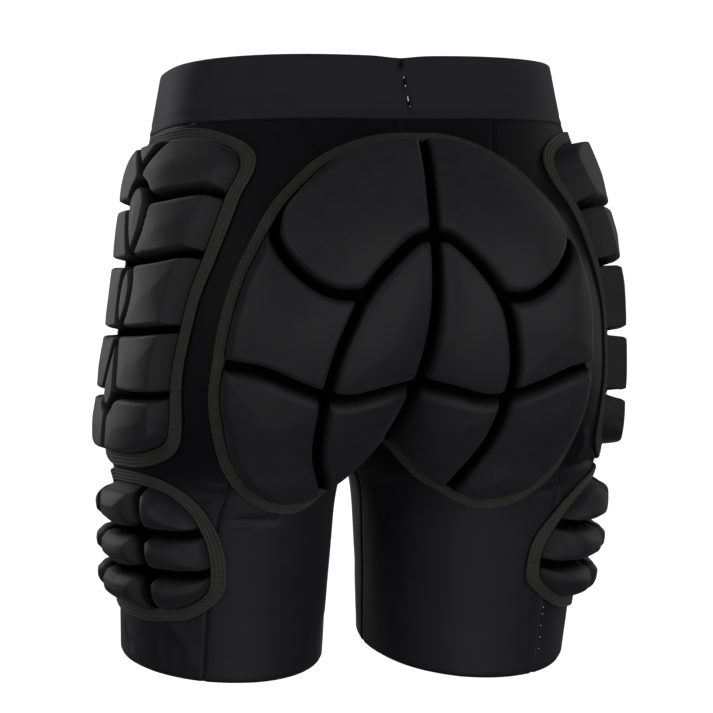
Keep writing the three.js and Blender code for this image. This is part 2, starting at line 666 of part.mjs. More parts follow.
const hipDesign = {
  lines: hipLines,
  backCells: hipBackCells,
  middleHalves: hipMiddleHalves,
  rimNames: ['capTop', 'rimTop', 'rimOne', 'rimTwo', 'rimThree', 'rimFour'],
  sway: hipSway,
  reach: hipPadReach,
  drop: hipPadDrop,
  top: bandFoot - hipPadTop,
  rise: hipPadRise,
  backRise: hipPadBackRise,
  width: borderWidth.hip,
  step: edgeStep.hip,
};
const thighDesign = {
  lines: thighLines,
  backCells: thighBackCells,
  middleHalves: thighMiddleHalves,
  rimNames: ['rimTop', 'rimOne', 'rimTwo', 'rimThree', 'rimLow'],
  sway: thighSway,
  reach: thighPadReach,
  drop: thighPadDrop,
  top: crotchLevel - thighPadTop,
  rise: thighPadRise,
  backRise: thighPadBackRise,
  width: borderWidth.thigh,
  step: edgeStep.thigh,
};

const group = new THREE.Group();
group.add(makeWaistband());
for (const side of [1, -1]) {
  for (const part of ['back', 'side', 'front']) group.add(makePanel(part, side));
  group.add(...makeFlankPad('hip', side, hipDesign));
  group.add(...makeFlankPad('thigh', side, thighDesign));
}
group.add(...makeSeatPad());

export default group;
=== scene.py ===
# Padded protective shorts in the form they have when worn. Metres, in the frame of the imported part: the
# origin is the middle of the waistband, +Z is up, the back faces +Y and the wearer's left side is +X.
import math

import bmesh
import bpy
import numpy as np
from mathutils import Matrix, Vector


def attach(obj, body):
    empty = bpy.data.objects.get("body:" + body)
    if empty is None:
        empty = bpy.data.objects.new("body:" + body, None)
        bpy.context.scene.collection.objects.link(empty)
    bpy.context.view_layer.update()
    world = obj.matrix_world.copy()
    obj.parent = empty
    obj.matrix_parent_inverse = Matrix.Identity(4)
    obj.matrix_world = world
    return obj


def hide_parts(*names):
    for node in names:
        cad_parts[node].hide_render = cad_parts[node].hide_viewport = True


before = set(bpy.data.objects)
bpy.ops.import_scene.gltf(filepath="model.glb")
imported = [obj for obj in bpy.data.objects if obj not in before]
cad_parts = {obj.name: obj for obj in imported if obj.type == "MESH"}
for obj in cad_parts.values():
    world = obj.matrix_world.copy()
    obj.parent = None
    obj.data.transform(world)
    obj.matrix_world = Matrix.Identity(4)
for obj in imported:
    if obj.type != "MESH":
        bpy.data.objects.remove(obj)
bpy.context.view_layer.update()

MM = 0.001
# Keeps what is divided by, or what a logarithm is taken of, from being nothing
TINY = 1e-12

# Driving sizes of the garment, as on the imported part
BAND_HEIGHT = 41 * MM
BAND_WALL = 3 * MM
CLOTH_WALL = 1.8 * MM
TORSO_DROP = 224 * MM
LEG_DROP = 127.7 * MM
HIP_REACH = 160 * MM
SEAT_DEPTH = 132 * MM
BELLY_DEPTH = 96 * MM
SEAM_GAP = 0.3 * MM
WAIST_ROLL = math.radians(2.3)
ROLL_FADE = 42 * MM
HEM_TILT = (math.radians(8.8), math.radians(14))

BAND_TOP = BAND_HEIGHT / 2
BAND_FOOT = -BAND_HEIGHT / 2
CROTCH_Z = BAND_FOOT - TORSO_DROP
HEM_Z = CROTCH_Z - LEG_DROP

# Sections of the shell. Columns: drop as a share of the band, torso or leg; lobe and reach, shares of
# HIP_REACH; back, share of SEAT_DEPTH; front, share of BELLY_DEPTH; sway, share of SEAT_DEPTH; roundness
LOBE, REACH, BACK, FRONT, SWAY, ROUND = range(1, 7)
BAND_ROWS = (
    (0.00, 0.000, 0.825, 0.62, 0.92, -0.015, 2.80),
    (1.00, 0.000, 0.873, 0.61, 0.97, 0.010, 2.90),
)
TORSO_ROWS = (
    (0.175, 0.075, 0.850, 0.810, 0.99, 0.015, 2.60),
    (0.352, 0.188, 0.769, 0.950, 1.00, 0.015, 2.50),
    (0.529, 0.300, 0.681, 1.000, 1.00, 0.000, 2.50),
    (0.686, 0.388, 0.612, 0.962, 0.99, -0.030, 2.50),
    (0.833, 0.463, 0.550, 0.864, 0.96, -0.076, 2.45),
    (0.956, 0.506, 0.513, 0.758, 0.92, -0.120, 2.35),
)
LEG_ROWS = (
    (0.040, 0.525, 0.472, 0.712, 0.90, -0.136, 2.30),
    (0.115, 0.531, 0.453, 0.682, 0.88, -0.150, 2.25),
    (0.390, 0.538, 0.444, 0.620, 0.83, -0.180, 2.15),
    (0.735, 0.544, 0.441, 0.576, 0.79, -0.227, 2.05),
    (1.000, 0.550, 0.438, 0.557, 0.77, -0.258, 2.00),
)
# Seams between the panels. Columns: drop as a share of torso and leg, angle behind, angle in front
SEAM_ROWS = (
    (0.00, 71, -62),
    (0.10, 76, -60),
    (0.25, 70, -58),
    (0.45, 69, -56),
    (0.62, 75, -58),
    (0.72, 71, -60),
    (1.00, 66, -62),
)
# How the stance moves each half, in millimetres. Columns: drop as a share of torso and leg; how far the
# flank is set outwards, left and right; the same by the centre line; how far the middle of the back is out.
# The flank's share of it grows from the first reach to the second; the back's fades over the spine's sizes.
STANCE_ROWS = (
    (0.00, -1.5, 1.0, 0.0, 0.0, -7),
    (0.12, -1.0, 4.0, 0.0, 0.0, -4),
    (0.25, -1.0, 3.0, 0.0, 0.0, 0),
    (0.40, -1.0, 1.5, 0.0, 0.0, 2),
    (0.52, 0.0, 4.5, 1.5, -1.5, 5),
    (0.62, 0.0, 9.0, 4.0, -4.0, 4),
    (0.70, -0.7, 11.7, 2.8, -3.0, 0),
    (0.80, -1.7, 12.0, 1.2, -2.4, 0),
    (0.86, -2.5, 9.0, 0.8, -1.5, 0),
    (1.00, -5.0, 4.3, 0.0, -1.3, 0),
)
FLANK_FROM = 20 * MM
FLANK_TO = 125 * MM
SPINE_WIDTH = 45 * MM
SPINE_DEPTH = 40 * MM


def placed(rows, start, length):
    """Rows of a table with their drop turned into a level."""
    return [(start - length * row[0],) + row[1:] for row in rows]


FORM = sorted(
    placed(BAND_ROWS, BAND_TOP, BAND_HEIGHT)
    + placed(TORSO_ROWS, BAND_FOOT, TORSO_DROP)
    + placed(LEG_ROWS, CROTCH_Z, LEG_DROP)
)


def ease(a, slope_a, b, slope_b, s):
    """The cubic from a to b, at share s of the way, that leaves and arrives with the given slopes."""
    leave = (2 * s**3 - 3 * s**2 + 1) * a + (s**3 - 2 * s**2 + s) * slope_a
    return leave + (3 * s**2 - 2 * s**3) * b + (s**3 - s**2) * slope_b


def follow(rows, column, at):
    """A smooth curve through one column of a table sorted by its first column."""
    keys = np.array([row[0] for row in rows], float)
    values = np.array([row[column] for row in rows], float)
    span = np.diff(keys)
    slope = np.diff(values) / span
    tangent = np.empty_like(values)
    tangent[0], tangent[-1] = slope[0], slope[-1]
    tangent[1:-1] = (slope[:-1] * span[:-1] + slope[1:] * span[1:]) / (span[:-1] + span[1:])
    at = np.clip(at, keys[0], keys[-1])
    i = np.clip(np.searchsorted(keys, at, side="right") - 1, 0, len(span) - 1)
    s = (at - keys[i]) / span[i]
    return ease(values[i], span[i] * tangent[i], values[i + 1], span[i] * tangent[i + 1], s)


def garment_share(z):
    """How far a level lies down the torso and leg, from the band's foot to the hem."""
    return (BAND_FOOT - z) / (TORSO_DROP + LEG_DROP)


def leg_share(z):
    """How far a level lies down the leg, from the crotch to the hem."""
    return np.clip((CROTCH_Z - z) / LEG_DROP, 0, 1)


def by_side(side, pair):
    """A value for each place from its (left, right) pair."""
    return np.where(np.asarray(side) > 0, pair[0], pair[1])


def section(z):
    """Lobe, reach, back, front, sway and roundness of each half of the shell at a level."""
    lobe = follow(FORM, LOBE, z) * HIP_REACH
    reach = follow(FORM, REACH, z) * HIP_REACH
    back = follow(FORM, BACK, z) * SEAT_DEPTH
    front = follow(FORM, FRONT, z) * BELLY_DEPTH
    sway = follow(FORM, SWAY, z) * SEAT_DEPTH
    return lobe, reach, back, front, sway, follow(FORM, ROUND, z)


def power(value, exponent):
    """A power that keeps its value's sign."""
    return np.sign(value) * np.abs(value) ** exponent


def loop_end(z):
    """The angle at which a half's loop meets the centre line, or a half turn below the crotch."""
    lobe, reach, _, _, _, roundness = section(z)
    return np.arccos(-(np.clip(lobe / reach, 0, 1) ** (roundness / 2)))


def loop_surface(angle, z, side):
    """The shell by the angle round one half: 0 at the flank, positive behind."""
    lobe, reach, back, front, sway, roundness = section(z)
    depth = np.where(angle >= 0, back, front)
    x = lobe + reach * power(np.cos(angle), 2 / roundness)
    y = sway + depth * power(np.sin(angle), 2 / roundness)
    return np.stack([side * np.maximum(x, 0), y, z + 0 * x], axis=-1)


def seat_surface(x, z):
    """The shell seen from behind."""
    lobe, reach, back, _, sway, roundness = section(z)
    share = np.minimum(np.abs(np.abs(x) - lobe) / reach, 1)
    y = sway + back * (1 - share**roundness) ** (1 / roundness)
    return np.stack([x, y, z + 0 * x], axis=-1)


def flank_surface(y, z, side):
    """The shell seen from the side."""
    lobe, reach, back, front, sway, roundness = section(z)
    depth = np.where(y >= sway, back, front)
    share = np.minimum(np.abs(y - sway) / depth, 1)
    x = lobe + reach * (1 - share**roundness) ** (1 / roundness)
    return np.stack([side * x, y + 0 * x, z + 0 * x], axis=-1)


def unit(vectors):
    """Vectors brought to length 1."""
    return vectors / np.maximum(np.linalg.norm(vectors, axis=-1, keepdims=True), TINY)


def outward(surface, u, v, step_u, step_v, turn):
    """The direction out of a surface, from small steps along it."""
    along = surface(u + step_u, v) - surface(u - step_u, v)
    up = surface(u, v + step_v) - surface(u, v - step_v)
    return turn * unit(np.cross(along, up))


def smooth_step(value, low, high):
    """A smooth rise from 0 to 1 between two values; the first may be the greater, for a fall."""
    s = np.clip((value - low) / (high - low), 0, 1)
    return s * s * (3 - 2 * s)


def bump(offset, half_width):
    """A bell that is 1 where the offset is nothing and dies away past its half width."""
    return np.exp(-((offset / half_width) ** 2))


def lean(places):
    """The stance and lean of the worn garment, which move every piece alike."""
    x, y, z = places[..., 0], places[..., 1], places[..., 2]
    side = np.where(x < 0, -1, 1)
    share = garment_share(z)
    out_left, out_right, in_left, in_right, spine = (follow(STANCE_ROWS, k, share) * MM for k in range(1, 6))
    flank = smooth_step(x * side, FLANK_FROM, FLANK_TO)
    outer = by_side(side, (out_left, out_right))
    inner = by_side(side, (in_left, in_right))
    shift = side * (outer * flank + inner * (1 - flank))
    middle = bump(x, SPINE_WIDTH) * smooth_step(y, 0, SPINE_DEPTH)
    roll = smooth_step(z, BAND_FOOT - ROLL_FADE, BAND_FOOT)
    tilt = np.tan(by_side(side, HEM_TILT)) * leg_share(z) ** 2
    rise = -x * math.tan(WAIST_ROLL) * roll - tilt * (y - section(z)[4])
    return np.stack([x + shift, y + spine * middle, z + rise], axis=-1)


def drift(places, length, seed):
    """A smooth waviness, mostly within -1 to 1, of about a given wavelength and the same on each run."""
    ways = np.random.default_rng(seed)
    total = np.zeros(len(places))
    waves = 7
    for _ in range(waves):
        way = unit(ways.normal(size=3))
        pitch = length * ways.uniform(0.7, 1.5)
        total += np.sin(places @ way * (2 * math.pi / pitch) + ways.uniform(0, 2 * math.pi))
    return total / math.sqrt(waves * 2)


# Shaped grids


def shares_of(bm):
    """Where each vertex of a fresh grid lies, from 0 to 1 across and down, also kept as UVs."""
    flat = np.array([vert.co[:2] for vert in bm.verts]) + 0.5
    uv = bm.loops.layers.uv.new("UVMap")
    for face in bm.faces:
        for loop in face.loops:
            loop[uv].uv = flat[loop.vert.index]
    return flat[:, 0], flat[:, 1]


def fresh_grid(across, down):
    """A flat square grid, one unit wide, to be moved into shape."""
    bm = bmesh.new()
    bmesh.ops.create_grid(bm, x_segments=across, y_segments=down, size=0.5)
    bm.verts.index_update()
    return bm


def move_to(verts, places):
    """Puts each vertex at its place."""
    for vert, place in zip(verts, places):
        vert.co = place


def mark_painted_shade(verts, layer, shares):
    """Keeps how much shade is painted at each vertex, for its material to darken it."""
    for vert, share in zip(verts, shares):
        vert[layer] = share


def scale_uvs(bm, width, height):
    """Turns UVs from shares into metres, so that a pattern on them has its real size."""
    uv = bm.loops.layers.uv.verify()
    for face in bm.faces:
        for loop in face.loops:
            loop[uv].uv = (loop[uv].uv[0] * width, loop[uv].uv[1] * height)


def object_of(bm, name, material):
    """Makes a smooth-shaded object of a bmesh, and frees it."""
    mesh = bpy.data.meshes.new(name)
    bm.to_mesh(mesh)
    bm.free()
    mesh.polygons.foreach_set("use_smooth", [True] * len(mesh.polygons))
    mesh.materials.append(material)
    piece = bpy.data.objects.new(name, mesh)
    bpy.context.scene.collection.objects.link(piece)
    return piece


def finish_piece(bm, name, material, slot, *nodes, closed=True):
    """Makes a piece of a bmesh; it rides on the garment's one body and replaces its CAD nodes."""
    if closed:
        bmesh.ops.recalc_face_normals(bm, faces=bm.faces)
    piece = object_of(bm, name, material)
    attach(piece, "root")
    if nodes:
        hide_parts(*nodes)
    return piece


# Points of a ring's two ends that lie closer than this are one
JOIN_WITHIN = 0.002 * MM


def closed_tube(around, profile, place):
    """A ring whose section is closed too, from a grid joined on itself both ways.

    The place function gives the places and how much shade is painted at each.
    """
    bm = fresh_grid(around, profile)
    mark = bm.verts.layers.float.new("painted_shade")
    s, t = shares_of(bm)
    places, painted_shade = place(s, t)
    move_to(bm.verts, places)
    mark_painted_shade(bm.verts, mark, painted_shade)
    bmesh.ops.remove_doubles(bm, verts=bm.verts, dist=JOIN_WITHIN)
    return bm


# Layouts of the pads: lines through chosen points


def smooth_line(points, parts=6):
    """A smooth line through points, with some straight parts between each two."""
    points = np.array(points, float)
    if len(points) == 2:
        return np.linspace(points[0], points[1], parts + 1)
    before = 2 * points[:1] - points[1:2]
    after = 2 * points[-1:] - points[-2:-1]
    knots = np.concatenate([before, points, after])
    line = []
    for k in range(len(knots) - 3):
        a, b, c, d = knots[k : k + 4]
        chord = [np.linalg.norm(q - p) ** 0.5 for p, q in ((a, b), (b, c), (c, d))]
        m_b = chord[1] * ((b - a) / chord[0] - (c - a) / (chord[0] + chord[1])) + (c - b)
        m_c = chord[1] * ((d - c) / chord[2] - (d - b) / (chord[1] + chord[2])) + (c - b)
        line += [ease(b, m_b, c, m_c, s) for s in np.arange(parts) / parts]
    return np.array(line + [points[-1]])


def distance_to(line, places):
    """The distance from each place to a line of straight parts."""
    best = np.full(len(places), np.inf)
    for start, end in zip(line[:-1], line[1:]):
        way = end - start
        share = np.clip((places - start) @ way / max(way @ way, TINY**2), 0, 1)
        gap = places - start - share[:, None] * way
        best = np.minimum(best, np.hypot(gap[:, 0], gap[:, 1]))
    return best


def within(outline, places):
    """Whether each place lies inside a closed outline."""
    inside = np.zeros(len(places), bool)
    for (au, av), (bu, bv) in zip(outline[:-1], outline[1:]):
        if av == bv:
            continue
        crosses = (av > places[:, 1]) != (bv > places[:, 1])
        inside ^= crosses & (places[:, 0] < (bu - au) * (places[:, 1] - av) / (bv - av) + au)
    return inside


def mirrored_round(half):
    """A closed outline from its half that runs from the centre line's top to its foot."""
    other = half[::-1] * (-1, 1)
    return np.concatenate([half, other[1:-1], half[:1]])


# The seat pad, half of it. Places are shares of its reach across and of its drop down.
SEAT_REACH = 123 * MM
SEAT_DROP = 228 * MM
SEAT_TOP = BAND_FOOT - 17 * MM
# Within this share of its reach, the seat pad rises more and more straight behind towards the centre line
STRAIGHT_OUT = 0.35
# How the seat pad sits askew. Columns: share of its drop; its right half's width as a share of the left
# half's; how far its centre line lies to the right, in millimetres
SEAT_ASKEW_ROWS = ((0.00, 1.04, 11), (0.27, 0.97, 3), (0.50, 0.92, 3), (0.80, 0.92, 0), (1.00, 0.92, 0))
SEAT_RIM = (
    (0, 0), (0.134, 0.002), (0.285, 0.023), (0.476, 0.076), (0.642, 0.155), (0.755, 0.225), (0.835, 0.30),
    (0.925, 0.40), (0.985, 0.52), (1, 0.61), (1, 0.70), (0.962, 0.79), (0.885, 0.89), (0.78, 0.955),
    (0.65, 0.99), (0.52, 0.995), (0.39, 0.962), (0.27, 0.925), (0.16, 0.875), (0.07, 0.83), (0, 0.805),
)
SEAT_CHANNELS = (
    ((0, 0), (0, 0.273)),
    ((0, 0.273), (0, 0.64)),
    ((0, 0.64), (0, 0.805)),
    ((0, 0.273), (0.09, 0.285), (0.211, 0.335), (0.32, 0.392), (0.382, 0.431)),
    (
        (0.382, 0.431), (0.528, 0.43), (0.64, 0.40), (0.735, 0.345), (0.775, 0.285), (0.745, 0.215),
        (0.66, 0.155),
    ),
    ((0.382, 0.431), (0.45, 0.51), (0.50, 0.60), (0.512, 0.686)),
    ((0.512, 0.686), (0.683, 0.655), (0.837, 0.624), (1, 0.61)),
    ((0.512, 0.686), (0.39, 0.69), (0.207, 0.665), (0, 0.64)),
    ((0.512, 0.686), (0.504, 0.76), (0.47, 0.85), (0.39, 0.962)),
)

# The pads on the flank, half of each about its middle line: shares of reach and drop. The sway tables
# say how far the middle line lies behind the garment's side, as a share of the reach, left and right.
HIP_REACH_OF_PAD = 67 * MM
HIP_DROP = 201 * MM
HIP_TOP = BAND_FOOT - 13 * MM
HIP_SWAY = ((0.0, 0.44, 0.48), (0.38, 0.48, 0.55), (0.59, 0.36, 0.43), (0.80, 0.17, 0.24), (1.0, 0.04, 0.09))
HIP_RIM = (
    (0, 0.0), (0.15, 0.0), (0.30, 0.0), (0.55, 0.018), (0.74, 0.06), (0.85, 0.12), (0.875, 0.21),
    (0.895, 0.29), (0.885, 0.39), (0.865, 0.49), (0.87, 0.612), (0.875, 0.70), (0.885, 0.81),
    (0.87, 0.89), (0.79, 0.955), (0.58, 0.985), (0.30, 1.0), (0, 1.0),
)
HIP_CHANNELS = (
    ((0.30, 0.0), (0.15, 0.06), (0, 0.12)),
    ((0, 0.12), (0, 0.15)),
    ((0, 0.15), (0.14, 0.175), (0.24, 0.215)),
    ((0.24, 0.215), (0.55, 0.213), (0.875, 0.21)),
    ((0.24, 0.215), (0.17, 0.31), (0, 0.40)),
    ((0, 0.40), (0.45, 0.40), (0.885, 0.39)),
    ((0, 0.40), (0.14, 0.455), (0.14, 0.56), (0, 0.62)),
    ((0, 0.62), (0.45, 0.62), (0.87, 0.612)),
    ((0, 0.62), (0.12, 0.715), (0.22, 0.815)),
    ((0.22, 0.815), (0.55, 0.815), (0.885, 0.81)),
    ((0.22, 0.815), (0.12, 0.85), (0, 0.875)),
    ((0, 0.875), (0, 1.0)),
)
THIGH_REACH = 57 * MM
THIGH_DROP = 78 * MM
THIGH_TOP = CROTCH_Z - 10 * MM
THIGH_SWAY = ((0.0, -0.04, 0.10), (1.0, -0.10, -0.02))
THIGH_RIM = (
    (0, 0), (0.25, 0), (0.48, 0.01), (0.76, 0.06), (0.92, 0.19), (0.96, 0.36), (0.95, 0.50), (0.91, 0.67),
    (0.84, 0.83), (0.68, 0.94), (0.43, 0.98), (0.22, 1.0), (0, 1.0),
)
THIGH_CHANNELS = (
    ((0.48, 0.01), (0.46, 0.16), (0.45, 0.37)),
    ((0.45, 0.37), (0.42, 0.52), (0.44, 0.68)),
    ((0.44, 0.68), (0.41, 0.82), (0.43, 0.98)),
    ((0, 0.39), (0.45, 0.37)),
    ((0, 0.71), (0.44, 0.68)),
    ((0.45, 0.37), (0.96, 0.36)),
    ((0.44, 0.68), (0.91, 0.67)),
)

# How far a pad's back lies off the cloth, half the width of a channel's floor, the width of the steep step
# at a pad's rim, how far in from its edges a block swells, and the slow waviness of its cloth
PAD_LIFT = 0.5 * MM
CHANNEL_HALF = 2.0 * MM
RIM_STEP = 1.3 * MM
SWELL_REACH = 16 * MM
PAD_WAVE = 0.22 * MM
PAD_WAVE_LENGTH = 34 * MM

# How each kind of pad is moulded, in millimetres: the channel's floor, how far the blocks rise from it and
# swell towards their middle; the width of the steep wall and of the bevel above it; how wide the pad slopes
# in from the sides of its rim and from its ends; how wide a block's corners are rounded; the border's width.
# As shares of the rise: the height of the wall and of the step at the rim, how much higher the back blocks
# of a flank pad are, and how softly the faces of a block meet.
MOULDS = {
    "seat": {
        "floor": 1.6, "rise": 10.6, "crown": 2.2, "wall": 1.9, "bevel": 2.0, "sides": 4.5, "ends": 4.5,
        "corner": 0.9, "border": 7.5,
        "wall_share": 0.80, "step_share": 0.50, "back_share": 0.0, "round": 0.08,
    },
    "hip": {
        "floor": 1.6, "rise": 12.0, "crown": 1.4, "wall": 1.0, "bevel": 1.2, "sides": 3.4, "ends": 2.0,
        "corner": 0.9, "border": 9.0,
        "wall_share": 0.82, "step_share": 0.36, "back_share": 0.2, "round": 0.10,
    },
    "thigh": {
        "floor": 1.8, "rise": 14.2, "crown": 4.0, "wall": 1.6, "bevel": 4.2, "sides": 5.0, "ends": 4.5,
        "corner": 1.4, "border": 9.0,
        "wall_share": 0.68, "step_share": 0.46, "back_share": 0.1, "round": 0.36,
    },
}
SHARES = ("wall_share", "step_share", "back_share", "round")
# The rim's ends are the first and last share of its drop. Roundings are shares of the rise; a slope that
# starts far above the blocks leaves them as they are.
END_SHARE = 0.1
EDGE_ROUND = 0.05
RIM_ROUND = 0.06
TOP_ROUND = 0.025
FAR_ABOVE = 9.0
# Up to these shares of its wall, shade is painted into a channel's cloth at all and in full
PAINTED_SHADE_TO = 1.1
PAINTED_SHADE_FULL = 0.3
# The cloth is flat from just inside a border's outer edge, and free of it a little past that edge
COVER_PAST = 4.5 * MM
COVER_SHORT = 1 * MM


def soft_min(a, b, softness):
    """The lower of two heights, with a small round where they meet."""
    return 0.5 * (a + b - np.sqrt((a - b) ** 2 + softness**2))


def askew(u, drop):
    """The seat pad's places across, drawn in on its right half and moved to the right at its top."""
    share = np.where(u < 0, follow(SEAT_ASKEW_ROWS, 1, drop), 1)
    sway = follow(SEAT_ASKEW_ROWS, 2, drop) * MM * (1 - np.minimum(np.abs(u) / SEAT_REACH, 1)) ** 2
    return u * share - sway


class Pad:
    """One pad's layout, how it is laid on the garment and how high it stands."""

    def __init__(self, kind, reach, drop, top, rim, channels, sway=None, side=1):
        scale = np.array([reach, drop])
        self.mould = {key: value if key in SHARES else value * MM for key, value in MOULDS[kind].items()}
        self.reach = reach
        self.drop = drop
        self.top = top
        self.half_rim = smooth_line(np.array(rim) * scale)
        self.outline = mirrored_round(self.half_rim)
        self.channels = [smooth_line(np.array(line) * scale) for line in channels]
        self.sway = sway
        self.side = side

    def middle_line(self, v):
        """How far behind the garment's side the middle of a flank pad lies."""
        return self.reach * follow(self.sway, 1 if self.side > 0 else 2, v / self.drop)

    def surface(self, u, v):
        """The cloth under the pad, at places across and down its layout."""
        if self.sway is None:
            return seat_surface(askew(u, v / self.drop), self.top - v)
        return flank_surface(u + self.middle_line(v), self.top - v, self.side)

    def lay(self, u, v, height):
        """Places of the layout put on the garment at a height above its cloth."""
        probe = 0.5 * MM
        turn = 1 if self.sway is None else -self.side
        out = outward(self.surface, u, v, probe, probe, turn)
        if self.sway is None:
            out[:, 0] *= smooth_step(np.abs(askew(u, v / self.drop)), 0, STRAIGHT_OUT * SEAT_REACH)
            out = unit(out)
        return lean(self.surface(u, v) + out * np.asarray(height)[..., None])

    def slope_in(self, places):
        """The pad's height as a share of its rise where only its rim lowers it: a step, then a slope."""
        mould = self.mould
        first = mould["step_share"]
        ends = np.minimum(self.half_rim[:, 1], self.drop - self.half_rim[:, 1]) < END_SHARE * self.drop
        slope = np.full(len(places), FAR_ABOVE)
        for key, part in (("ends", ends), ("sides", ~ends)):
            index = np.nonzero(part)[0]
            runs = np.split(index, np.nonzero(np.diff(index) > 1)[0] + 1)
            lines = [self.half_rim[run[0] : run[-1] + 2] for run in runs]
            rim = np.min([distance_to(line, places) for line in lines], axis=0)
            step = rim * first / RIM_STEP
            ramp = first + (1 - first) * (rim - RIM_STEP) / mould[key]
            slope = soft_min(slope, soft_min(step, ramp, EDGE_ROUND), RIM_ROUND)
        return slope

    def heights(self, u, v):
        """The top of the pad, flat bevelled blocks between channels, and how much shade is painted into
        them.
        """
        mould = self.mould
        places = np.stack([np.abs(u), v], axis=-1)
        corner = mould["corner"]
        gathered = sum(np.exp(-distance_to(line, places) / corner) for line in self.channels)
        channel = -corner * np.log(np.maximum(gathered, TINY)) - CHANNEL_HALF
        first = mould["wall_share"]
        wall = channel * first / mould["wall"]
        bevel = first + (1 - first) * (channel - mould["wall"]) / mould["bevel"]
        block = soft_min(soft_min(wall, bevel, EDGE_ROUND), 1, TOP_ROUND)
        lower = np.clip(soft_min(block, self.slope_in(places), mould["round"]), 0, 1)
        inner = np.maximum(np.minimum(channel, distance_to(self.half_rim, places)), 0)
        swell = 1 - bump(inner, SWELL_REACH)
        back = u / self.reach if self.sway else 0 * u
        rise = mould["rise"] * (1 + mould["back_share"] * back)
        # Shade painted into the channels, darkest towards their floors
        painted_shade = smooth_step(channel / mould["wall"], PAINTED_SHADE_TO, PAINTED_SHADE_FULL)
        return mould["floor"] + lower * rise + swell * mould["crown"], painted_shade

    def cover(self, places):
        """How far a pad or its border covers places of the shell: 1 under it, 0 well outside."""
        v = self.top - places[:, 2]
        if self.sway is None:
            u = places[:, 0]
            u = np.where(u < 0, u / np.minimum(follow(SEAT_ASKEW_ROWS, 1, v / self.drop), 1), u)
            facing = places[:, 1] > 0
        else:
            u = places[:, 1] - self.middle_line(v)
            facing = places[:, 0] * self.side > 0
        flat = np.stack([u, v], axis=-1)
        gap = distance_to(self.outline, flat) * np.where(within(self.outline, flat), -1, 1)
        border = self.mould["border"]
        return facing * smooth_step(gap, border + COVER_PAST, border - COVER_SHORT)


def pad_designs():
    """The seat pad and, for each side, the hip and thigh pads."""
    pads = {("seat", 0): Pad("seat", SEAT_REACH, SEAT_DROP, SEAT_TOP, SEAT_RIM, SEAT_CHANNELS)}
    for side in (1, -1):
        pads["hip", side] = Pad(
            "hip", HIP_REACH_OF_PAD, HIP_DROP, HIP_TOP, HIP_RIM, HIP_CHANNELS, HIP_SWAY, side
        )
        pads["thigh", side] = Pad(
            "thigh", THIGH_REACH, THIGH_DROP, THIGH_TOP, THIGH_RIM, THIGH_CHANNELS, THIGH_SWAY, side
        )
    return pads


def on_disc(s, t):
    """A square grid's shares laid on a round disc: distance from the middle and direction."""
    a, b = 2 * s - 1, 2 * t - 1
    u = a * np.sqrt(1 - b * b / 2)
    v = b * np.sqrt(1 - a * a / 2)
    return np.hypot(u, v), np.arctan2(v, u)


def inside_rim(pad, s, t):
    """Places inside a pad's rim for the shares of a grid."""
    middle = np.array([0, pad.drop / 2])
    ray = pad.outline[:-1] - middle
    direction = np.arctan2(ray[:, 1], ray[:, 0])
    order = np.argsort(direction)
    share, angle = on_disc(s, t)
    radius = np.interp(angle, direction[order], np.hypot(*ray.T)[order], period=2 * math.pi)
    return share * radius * np.cos(angle), middle[1] + share * radius * np.sin(angle)


# How finely each kind of pad is cut across and down, and the first number of its waviness
PAD_FINENESS = {"seat": (300, 280), "hip": (156, 234), "thigh": (140, 98)}
PAD_SEED = 21


def make_pad(pad, name, across, down, material, seed):
    """A closed foam pad: its blocks outside, and a smooth, coarser back that lies on the cloth."""
    bm = fresh_grid(across, down)
    mark = bm.verts.layers.float.new("painted_shade")
    front = bm.verts[:]
    coarser = 3
    bmesh.ops.create_grid(bm, x_segments=across // coarser, y_segments=down // coarser, size=0.5)
    bm.verts.index_update()
    s, t = shares_of(bm)
    u, v = inside_rim(pad, s, t)
    seen = np.arange(len(s)) < len(front)
    top, painted_shade = pad.heights(u, v)
    height = np.where(seen, top, PAD_LIFT)
    # The channels' painted shade, kept on the front's vertices
    mark_painted_shade(front, mark, painted_shade)
    places = pad.lay(u, v, height)
    bow = PAD_WAVE * drift(places, PAD_WAVE_LENGTH, seed) * seen
    move_to(bm.verts, places + unit(places - places.mean(axis=0)) * bow[:, None])
    bmesh.ops.bridge_loops(bm, edges=[edge for edge in bm.edges if edge.is_boundary])
    scale_uvs(bm, 2 * pad.reach, pad.drop)
    piece = finish_piece(bm, name, material, "pad", name)
    return piece


def even_outline(pad, count):
    """A pad's rim cut into even steps, with the outward direction at each."""
    run = np.concatenate([[0], np.cumsum(np.hypot(*np.diff(pad.outline, axis=0).T))])
    at = np.linspace(0, run[-1], count, endpoint=False)
    line = np.stack([np.interp(at, run, pad.outline[:, k]) for k in (0, 1)], axis=-1)
    rounds_of_smoothing = 10
    for _ in range(rounds_of_smoothing):
        line = (np.roll(line, 1, axis=0) + 2 * line + np.roll(line, -1, axis=0)) / 4
    along = unit(np.roll(line, -1, axis=0) - np.roll(line, 1, axis=0))
    out = np.stack([along[:, 1], -along[:, 0]], axis=-1)
    middle = np.array([0, pad.drop / 2])
    out *= np.sign(np.sum(out * (line - middle), axis=-1).mean())
    return line, out, run[-1]


# The seam round a pad: the gap to the pad, the pitch of its stitches and its rows of thread; the points of
# its section and the share of them that is its top; the heights of its back, of its sunk edges, of the band
# above them and of the thread rows on it; how much of a row's height its twist takes, how flat a row's
# round is, the less the flatter, and the share of the width in which the edges rise
BORDER_GAP = 0.3 * MM
STITCH_PITCH = 2.6 * MM
THREAD_ROWS = 4
BORDER_PROFILE = 26
TOP_SHARE = 0.82
BORDER_BACK = 0.3 * MM
BORDER_EDGE = 1.3 * MM
BORDER_BAND = 0.5 * MM
ROW_HEIGHT = 1.2 * MM
ROW_TWIST = 0.18
ROW_ROUND = 0.7
EDGE_RISE = 0.05
# How far along each row's stitches start after the last row's, in stitches, and how far they lean
ROW_SHIFT = 0.35
ROW_LEAN = 2.2


